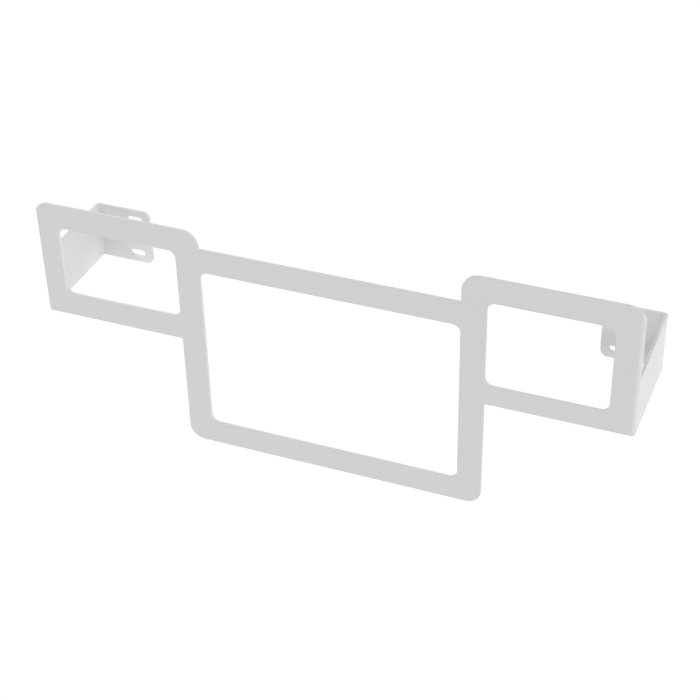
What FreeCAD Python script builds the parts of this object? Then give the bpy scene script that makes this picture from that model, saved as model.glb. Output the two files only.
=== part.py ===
import FreeCAD, Part
import math
import os
from FreeCAD import Vector

# Security gate: one steel sheet, laser cut, folded four times and powder coated.
# Millimetres. +Z is up and the front panel faces -Y.
# The origin is the middle of the four mounting slots, on the plane of the wall behind.

# Folded sheet
overall_width = 600.0
overall_depth = 114.5
sheet = 3.0
bend_outer_radius = 4.0
coated_edge_radius = 0.4

# Side panels and rear flanges
wing_height = 61.5
flange_length = 61.0
flange_corner_radius = 7.5
wing_notch_radius = 1.5

# Mounting slots, two in each flange
slot_length = 17.0
slot_width = 7.0
slot_from_side = 44.0
slot_from_lower_edge = 10.5
slot_pitch = 40.0

# Front panel, bars and windows across, from left to right
left_bar = 24.0
left_window_width = 125.5
left_mullion = 25.0
centre_window_width = 259.5
right_mullion = 24.5
right_window_width = 116.5

# Front panel, bars and windows up, measured from the lower edge of the side panels
left_lower_bar = 25.5
left_window_height = 74.5
right_lower_bar = 21.5
right_window_height = 91.0
upper_bar = 25.5
centre_drop = 121.5
centre_lower_bar = 25.5
centre_window_height = 178.0

# Corners of the front panel
outer_corner_radius = 15.0
step_corner_radius = 17.0
window_corner_radius = 8.0
inner_corner_radius = 0.8

# Construction allowances
clearance = 5.0
same_point = 1e-6
square_enough = 0.5

# Derived positions
half_width = overall_width / 2
front_y = -overall_depth
bend_inner_radius = bend_outer_radius - sheet
front_bend_end_y = front_y + bend_outer_radius
rear_bend_start_y = -bend_outer_radius
base_z = -slot_from_lower_edge - slot_pitch / 2
wing_top_z = base_z + wing_height
flange_end = half_width - flange_length

left_window_start = -half_width + left_bar
left_window_end = left_window_start + left_window_width
centre_window_start = left_window_end + left_mullion
centre_window_end = centre_window_start + centre_window_width
right_window_start = centre_window_end + right_mullion
right_window_end = right_window_start + right_window_width

left_window_low = base_z + left_lower_bar
left_window_high = left_window_low + left_window_height
left_top = left_window_high + upper_bar
right_window_low = base_z + right_lower_bar
right_window_high = right_window_low + right_window_height
right_top = right_window_high + upper_bar
centre_bottom = base_z - centre_drop
centre_window_low = centre_bottom + centre_lower_bar
centre_window_high = centre_window_low + centre_window_height
centre_top = centre_window_high + upper_bar
tallest = max(left_top, right_top)

slot_x = half_width - slot_from_side
slot_low_z = base_z + slot_from_lower_edge
slot_high_z = slot_low_z + slot_pitch


def rounded_wire(corners, to_point):
    """Closed wire through (u, v, radius) corners; to_point places u and v in space."""
    joints = []
    count = len(corners)
    for i in range(count):
        u, v, radius = corners[i]
        before = corners[i - 1]
        after = corners[(i + 1) % count]
        here = Vector(u, v, 0)
        if radius == 0:
            joints.append((here, None, here))
            continue
        back = Vector(before[0] - u, before[1] - v, 0).normalize()
        ahead = Vector(after[0] - u, after[1] - v, 0).normalize()
        half_angle = back.getAngle(ahead) / 2
        run = radius / math.tan(half_angle)
        inward = (back + ahead).normalize()
        centre = here + inward * (radius / math.sin(half_angle))
        middle = centre - inward * radius
        joints.append((here + back * run, middle, here + ahead * run))
    edges = []
    for i in range(count):
        start, middle, end = joints[i]
        if middle is not None:
            edges.append(Part.Arc(to_point(start), to_point(middle), to_point(end)).toShape())
        following = joints[(i + 1) % count][0]
        if end.distanceToPoint(following) > same_point:
            edges.append(Part.makeLine(to_point(end), to_point(following)))
    return Part.Wire(edges)


def prism_along_y(corners, start_y, end_y):
    """Solid with an X-Z outline, from start_y to end_y."""
    wire = rounded_wire(corners, lambda p: Vector(p.x, start_y, p.y))
    return Part.Face(wire).extrude(Vector(0, end_y - start_y, 0))


def prism_along_x(corners, start_x, end_x):
    """Solid with a Y-Z outline, from start_x to end_x."""
    wire = rounded_wire(corners, lambda p: Vector(start_x, p.x, p.y))
    return Part.Face(wire).extrude(Vector(end_x - start_x, 0, 0))


def prism_along_z(corners, start_z, end_z):
    """Solid with an X-Y outline, from start_z to end_z."""
    wire = rounded_wire(corners, lambda p: Vector(p.x, p.y, start_z))
    return Part.Face(wire).extrude(Vector(0, 0, end_z - start_z))


def rectangle(low_u, low_v, high_u, high_v, radius):
    return [(low_u, low_v, radius), (high_u, low_v, radius), (high_u, high_v, radius), (low_u, high_v, radius)]


# The folded section seen from above: front, two sides and two flanges, with all four bends.
section = [
    (-half_width, front_y, bend_outer_radius),
    (half_width, front_y, bend_outer_radius),
    (half_width, 0, bend_outer_radius),
    (flange_end, 0, 0),
    (flange_end, -sheet, 0),
    (half_width - sheet, -sheet, bend_inner_radius),
    (half_width - sheet, front_y + sheet, bend_inner_radius),
    (-half_width + sheet, front_y + sheet, bend_inner_radius),
    (-half_width + sheet, -sheet, bend_inner_radius),
    (-flange_end, -sheet, 0),
    (-flange_end, 0, 0),
    (-half_width, 0, bend_outer_radius),
]
folded = prism_along_z(section, centre_bottom, tallest)

# Front panel outline. Neighbouring frames share a bar, and the steps between them are tight inner corners.
# Low down the sheet runs on round the bends, so the outline stands clear of the sides there.
front_outline = [
    (-half_width - clearance, base_z, 0),
    (left_window_end, base_z, inner_corner_radius),
    (left_window_end, centre_bottom, outer_corner_radius),
    (right_window_start, centre_bottom, outer_corner_radius),
    (right_window_start, base_z, inner_corner_radius),
    (half_width + clearance, base_z, 0),
    (half_width + clearance, wing_top_z, 0),
    (half_width, wing_top_z, 0),
    (half_width, right_top, outer_corner_radius),
    (centre_window_end, right_top, step_corner_radius),
    (centre_window_end, centre_top, inner_corner_radius),
    (centre_window_start, centre_top, inner_corner_radius),
    (centre_window_start, left_top, step_corner_radius),
    (-half_width, left_top, outer_corner_radius),
    (-half_width, wing_top_z, 0),
    (-half_width - clearance, wing_top_z, 0),
]
windows = [
    rectangle(left_window_start, left_window_low, left_window_end, left_window_high, window_corner_radius),
    rectangle(
        centre_window_start, centre_window_low, centre_window_end, centre_window_high, window_corner_radius
    ),
    rectangle(right_window_start, right_window_low, right_window_end, right_window_high, window_corner_radius),
]
front_blank = prism_along_y(front_outline, front_y - clearance, front_bend_end_y)
for window in windows:
    front_blank = front_blank.cut(prism_along_y(window, front_y - clearance, front_bend_end_y))
front_panel = folded.common(front_blank)

# Side panels, with a small radius where their upper edge meets the taller front panel.
wing_outline = [
    (front_bend_end_y, base_z, 0),
    (rear_bend_start_y, base_z, 0),
    (rear_bend_start_y, wing_top_z, 0),
    (front_bend_end_y, wing_top_z, wing_notch_radius),
    (front_bend_end_y, wing_top_z + wing_notch_radius, 0),
]
wing_blank = prism_along_x(wing_outline, -half_width - clearance, half_width + clearance)
side_panels = folded.common(wing_blank)


def rear_flange(side):
    """Flange and its bend on one side, -1 left or 1 right, with rounded free corners and two slots."""
    outline = [
        (side * (half_width + clearance), base_z, 0),
        (side * flange_end, base_z, flange_corner_radius),
        (side * flange_end, wing_top_z, flange_corner_radius),
        (side * (half_width + clearance), wing_top_z, 0),
    ]
    flange = folded.common(prism_along_y(outline, rear_bend_start_y, clearance))
    for slot_z in (slot_low_z, slot_high_z):
        slot = rectangle(
            side * slot_x - slot_length / 2,
            slot_z - slot_width / 2,
            side * slot_x + slot_length / 2,
            slot_z + slot_width / 2,
            slot_width / 2,
        )
        flange = flange.cut(prism_along_y(slot, -sheet - clearance, clearance))
    return flange


gate = front_panel.fuse([side_panels, rear_flange(-1), rear_flange(1)]).removeSplitter()
print("one folded sheet:", len(gate.Solids), "solid,", len(gate.Edges), "edges, valid", gate.isValid())


def face_normal(face, point):
    u, v = face.Surface.parameter(point)
    return face.normalAt(u, v)


def is_cut_edge(shape, edge):
    """True for an edge where the sheet's surface meets its cut side."""
    faces = shape.ancestorsOfType(edge, Part.Face)
    if len(faces) != 2:
        return False
    middle = edge.valueAt((edge.FirstParameter + edge.LastParameter) / 2)
    return abs(face_normal(faces[0], middle).dot(face_normal(faces[1], middle))) < square_enough


# The coating rounds every cut edge a little.
cut_edges = [edge for edge in gate.Edges if is_cut_edge(gate, edge)]
gate = gate.makeFillet(coated_edge_radius, cut_edges)
print("edges rounded:", len(cut_edges), "valid", gate.isValid(), "volume mm3", round(gate.Volume))


def zone(low_x, high_x, low_y, high_y):
    """Full-height box between two X and two Y planes."""
    depth = high_y - low_y
    height = tallest - centre_bottom + 2 * clearance
    return Part.makeBox(high_x - low_x, depth, height, Vector(low_x, low_y, centre_bottom - clearance))


# Part the sheet at the end lines of its bends, so that each panel is a part of its own.
before = front_y - clearance
outside = half_width + clearance
zones = {
    "front_frame": zone(-outside, outside, before, front_bend_end_y),
    "left_side_wing": zone(-outside, 0, front_bend_end_y, rear_bend_start_y),
    "right_side_wing": zone(0, outside, front_bend_end_y, rear_bend_start_y),
    "left_mounting_flange": zone(-outside, 0, rear_bend_start_y, clearance),
    "right_mounting_flange": zone(0, outside, rear_bend_start_y, clearance),
}

os.makedirs("parts", exist_ok=True)
for name, panel_zone in zones.items():
    panel = gate.common(panel_zone)
    solid = panel.Solids[0]
    print(name, len(panel.Solids), "solid, valid", solid.isValid(), "volume", round(solid.Volume))
    solid.exportStep("parts/" + name + ".step")
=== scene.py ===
from math import cos, radians, sin

import bpy
from mathutils import Matrix, Vector


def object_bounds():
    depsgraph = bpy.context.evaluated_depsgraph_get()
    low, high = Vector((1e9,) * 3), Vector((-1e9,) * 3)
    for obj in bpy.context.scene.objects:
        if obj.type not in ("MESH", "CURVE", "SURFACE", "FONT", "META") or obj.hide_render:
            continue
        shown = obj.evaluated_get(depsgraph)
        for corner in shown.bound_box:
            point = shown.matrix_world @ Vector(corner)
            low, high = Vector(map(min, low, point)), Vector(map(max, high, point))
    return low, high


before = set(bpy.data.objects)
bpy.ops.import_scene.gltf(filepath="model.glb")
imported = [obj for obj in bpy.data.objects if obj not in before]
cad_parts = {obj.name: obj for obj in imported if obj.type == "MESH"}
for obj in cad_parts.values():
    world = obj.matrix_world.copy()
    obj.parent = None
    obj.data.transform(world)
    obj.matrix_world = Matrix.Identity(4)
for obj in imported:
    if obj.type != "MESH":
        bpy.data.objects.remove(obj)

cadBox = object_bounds()
lowest = Vector(cadBox[0])
print("frame loaded:", ", ".join(sorted(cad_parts)))


# Small helpers for building a material

def newMaterial(name):
    material = bpy.data.materials.new(name)
    material.use_nodes = True
    tree = material.node_tree
    return material, tree, tree.nodes["Principled BSDF"]


def addNode(tree, kind, inputs=None, **settings):
    node = tree.nodes.new(kind)
    for key, value in settings.items():
        setattr(node, key, value)
    for key, value in (inputs or {}).items():
        node.inputs[key].default_value = value
    return node


# Satin white powder coat. Lengths are in metres, so a scale of 500 gives spots about 2 mm across.
powderCoatLook = {
    "baseWhite": (0.748, 0.748, 0.750, 1.0),
    "thinWhite": (0.730, 0.730, 0.733, 1.0),
    # painted highlight colour for the cut edges
    "paintedEdgeHighlight": (0.800, 0.798, 0.794, 1.0),
    "cloudScale": 9.0,
    "cloudDetail": 3.0,
    "cloudRoughness": 0.55,
    "cloudFrom": 0.35,
    "cloudTo": 0.75,
    "cloudShare": 0.5,
    "edgeReach": 0.0011,
    "edgeSamples": 6,
    "edgeFlat": 0.995,  # how far the rounded and flat normals agree where the painted edge highlight starts
    "edgeSharp": 0.86,  # and where it is full
    "patchScale": 60.0,
    "patchDetail": 2.0,
    "peelScale": 520.0,
    "peelDetail": 2.0,
    "peelRoughness": 0.45,
    "peelHeight": 0.000018,
    "grainScale": 2600.0,
    "grainDetail": 1.0,
    "grainHeight": 0.000004,
    "roughnessLow": 0.40,
    "roughnessHigh": 0.52,
}


def powderCoat(name):
    look = powderCoatLook
    material, tree, shader = newMaterial(name)
    link = tree.links.new
    place = addNode(tree, "ShaderNodeTexCoord").outputs["Object"]

    # slow clouds in the coat's thickness, a few percent of tone
    clouds = addNode(
        tree,
        "ShaderNodeTexNoise",
        {"Scale": look["cloudScale"], "Detail": look["cloudDetail"], "Roughness": look["cloudRoughness"]},
    )
    link(place, clouds.inputs["Vector"])
    tone = addNode(tree, "ShaderNodeMix", {"A": look["baseWhite"], "B": look["thinWhite"]}, data_type="RGBA")
    cloudAmount = addNode(
        tree,
        "ShaderNodeMapRange",
        {"From Min": look["cloudFrom"], "From Max": look["cloudTo"], "To Max": look["cloudShare"]},
    )
    link(clouds.outputs["Fac"], cloudAmount.inputs["Value"])
    link(cloudAmount.outputs["Result"], tone.inputs["Factor"])

    # painted highlight: the cut edges take a slightly brighter tone, in patches, standing in for light
    # caught along them
    rounded = addNode(tree, "ShaderNodeBevel", {"Radius": look["edgeReach"]}, samples=look["edgeSamples"])
    flat = addNode(tree, "ShaderNodeNewGeometry").outputs["True Normal"]
    facing = addNode(tree, "ShaderNodeVectorMath", operation="DOT_PRODUCT")
    link(rounded.outputs["Normal"], facing.inputs[0])
    link(flat, facing.inputs[1])
    edge = addNode(tree, "ShaderNodeMapRange", {"From Min": look["edgeFlat"], "From Max": look["edgeSharp"]})
    link(facing.outputs["Value"], edge.inputs["Value"])
    patches = addNode(
        tree, "ShaderNodeTexNoise", {"Scale": look["patchScale"], "Detail": look["patchDetail"]}
    )
    link(place, patches.inputs["Vector"])
    # mask of the painted edge highlight: edge strength times patch noise
    paintedHighlightMask = addNode(tree, "ShaderNodeMath", operation="MULTIPLY")
    link(edge.outputs["Result"], paintedHighlightMask.inputs[0])
    link(patches.outputs["Fac"], paintedHighlightMask.inputs[1])
    highlightedTone = addNode(tree, "ShaderNodeMix", {"B": look["paintedEdgeHighlight"]}, data_type="RGBA")
    link(paintedHighlightMask.outputs["Value"], highlightedTone.inputs["Factor"])
    link(tone.outputs["Result"], highlightedTone.inputs["A"])
    link(highlightedTone.outputs["Result"], shader.inputs["Base Color"])

    # orange peel under a fine grain
    peel = addNode(
        tree,
        "ShaderNodeTexNoise",
        {"Scale": look["peelScale"], "Detail": look["peelDetail"], "Roughness": look["peelRoughness"]},
    )
    grain = addNode(
        tree, "ShaderNodeTexNoise", {"Scale": look["grainScale"], "Detail": look["grainDetail"]}
    )
    link(place, peel.inputs["Vector"])
    link(place, grain.inputs["Vector"])
    peelBump = addNode(tree, "ShaderNodeBump", {"Distance": look["peelHeight"], "Strength": 1.0})
    grainBump = addNode(tree, "ShaderNodeBump", {"Distance": look["grainHeight"], "Strength": 1.0})
    link(peel.outputs["Fac"], peelBump.inputs["Height"])
    link(grain.outputs["Fac"], grainBump.inputs["Height"])
    link(peelBump.outputs["Normal"], grainBump.inputs["Normal"])
    link(grainBump.outputs["Normal"], shader.inputs["Normal"])

    roughness = addNode(
        tree, "ShaderNodeMapRange", {"To Min": look["roughnessLow"], "To Max": look["roughnessHigh"]}
    )
    link(clouds.outputs["Fac"], roughness.inputs["Value"])
    link(roughness.outputs["Result"], shader.inputs["Roughness"])
    return material


def coatSheet():
    coat = powderCoat("whitePowderCoat")
    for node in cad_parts.values():
        node.data.materials.clear()
        node.data.materials.append(coat)


coatSheet()
print("powder coat on", len(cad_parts), "panels")


# Camera: to the right of the object and above it, with a slightly long lens
cameraPlace = {
    "azimuth": 22.245,
    "elevation": 35.463,
    "roll": -1.2885,
    "distance": 1.5603,
    "lookAtX": 0.02645,
    "lookAtZ": -0.0013,
    "lens": 85.65,
    "sensor": 36.0,
}


def placeCamera():
    look = cameraPlace
    azimuth, elevation, roll = (radians(look[key]) for key in ("azimuth", "elevation", "roll"))
    back = Vector((sin(azimuth) * cos(elevation), -cos(azimuth) * cos(elevation), sin(elevation)))
    levelRight = Vector((cos(azimuth), sin(azimuth), 0.0))
    levelUp = back.cross(levelRight)
    right = levelRight * cos(roll) + levelUp * sin(roll)
    up = levelUp * cos(roll) - levelRight * sin(roll)
    target = Vector((look["lookAtX"], lowest.y, look["lookAtZ"]))
    camera = bpy.data.objects.new("camera", bpy.data.cameras.new("camera"))
    camera.data.lens = look["lens"]
    camera.data.sensor_width = look["sensor"]
    turn = Matrix((right, up, back)).transposed().to_4x4()
    camera.matrix_world = Matrix.Translation(target + back * look["distance"]) @ turn
    bpy.context.scene.collection.objects.link(camera)
    bpy.context.scene.camera = camera


placeCamera()
print("camera placed")


# Pale floor, well below the frame, which hangs on a wall
floorLook = {
    "drop": 1.6,
    "size": 80.0,
    "white": (0.97, 0.97, 0.97, 1.0),
    "glow": 0.200,
}


def makeFloor():
    bpy.ops.mesh.primitive_plane_add(size=floorLook["size"], location=(0, 0, lowest.z - floorLook["drop"]))
    floor = bpy.context.object
    floor.name = "floor"
    paper, tree, shader = newMaterial("paleFloor")
    shader.inputs["Base Color"].default_value = floorLook["white"]
    shader.inputs["Roughness"].default_value = 1.0
    shader.inputs["Specular IOR Level"].default_value = 0.0
    shader.inputs["Emission Color"].default_value = floorLook["white"]
    shader.inputs["Emission Strength"].default_value = floorLook["glow"]
    floor.data.materials.append(paper)


makeFloor()


# Soft studio light: a ring of wide suns, so that faces turned each way get their own share, and a
# narrower one at the front left that throws the shadows. The studio is plain white where the floor ends.
studioWhite = (1.0, 1.0, 1.0, 1.0)
skyStrength = 0.03
suns = {
    "frontLeft": {"towards": (-0.426, -0.640, 0.640), "strength": 0.69, "width": 5.0},
    "frontRight": {"towards": (0.557, -0.557, 0.616), "strength": 0.53, "width": 30.0},
    "frontTop": {"towards": (0.0, -0.469, 0.883), "strength": 0.39, "width": 30.0},
    "right": {"towards": (1.0, 0.0, 0.2126), "strength": 1.08, "width": 30.0},
    "behindLeft": {"towards": (-0.557, 0.557, 0.616), "strength": 1.08, "width": 30.0},
    "behindRight": {"towards": (0.33, 0.86, 0.39), "strength": 0.65, "width": 30.0},
    "overhead": {"towards": (0.0, 0.0, 1.0), "strength": 0.36, "width": 60.0},
}


def paintStudio():
    world = bpy.data.worlds.new("whiteStudio")
    world.use_nodes = True
    tree = world.node_tree
    lighting = tree.nodes["Background"]
    lighting.inputs["Color"].default_value = studioWhite
    lighting.inputs["Strength"].default_value = skyStrength
    backdrop = addNode(tree, "ShaderNodeBackground", {"Color": studioWhite, "Strength": 1.0})
    chooser = addNode(tree, "ShaderNodeMixShader")
    tree.links.new(addNode(tree, "ShaderNodeLightPath").outputs["Is Camera Ray"], chooser.inputs["Fac"])
    tree.links.new(lighting.outputs["Background"], chooser.inputs[1])
    tree.links.new(backdrop.outputs["Background"], chooser.inputs[2])
    tree.links.new(chooser.outputs["Shader"], tree.nodes["World Output"].inputs["Surface"])
    bpy.context.scene.world = world


def hangSuns():
    for name, sun in suns.items():
        lamp = bpy.data.lights.new(name, "SUN")
        lamp.energy = sun["strength"]
        lamp.angle = radians(sun["width"])
        holder = bpy.data.objects.new(name, lamp)
        holder.rotation_euler = Vector(sun["towards"]).to_track_quat("Z", "Y").to_euler()
        bpy.context.scene.collection.objects.link(holder)


paintStudio()
hangSuns()
bpy.context.scene.view_settings.view_transform = "Standard"
print("floor and lights placed")
